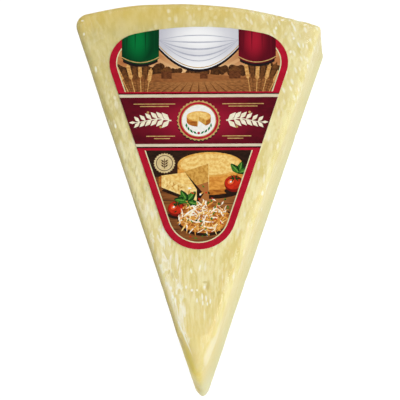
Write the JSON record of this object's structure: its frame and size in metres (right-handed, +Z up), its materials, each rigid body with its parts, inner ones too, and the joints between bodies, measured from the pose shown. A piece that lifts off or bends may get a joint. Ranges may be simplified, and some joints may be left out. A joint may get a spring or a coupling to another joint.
{
  "type": "parmesan wedge",
  "caption": "Wedge of hard grating cheese sealed skin-tight in clear film, lying flat, with a rounded triangular printed label on its upper face.",
  "frame": {"origin": "centre of the foot, under the middle of the bounding box", "axes": "+Z up from the face it lies on, +Y from the tip towards the rind"},
  "size_m": [0.0784, 0.1236, 0.0257],
  "materials": {
    "wrapped_cheese": "pale straw-yellow hard cheese with fine white flecks, seen through tight clear film",
    "printed_label": "satin printed paper, crimson border with cream rules and warm brown and gold fields",
    "clear_film": "thin clear packing film, glossy, with small wrinkles"
  },
  "bodies": {
    "root": {"wedge": "wrapped_cheese", "label": "printed_label"}
  },
  "joints": []
}
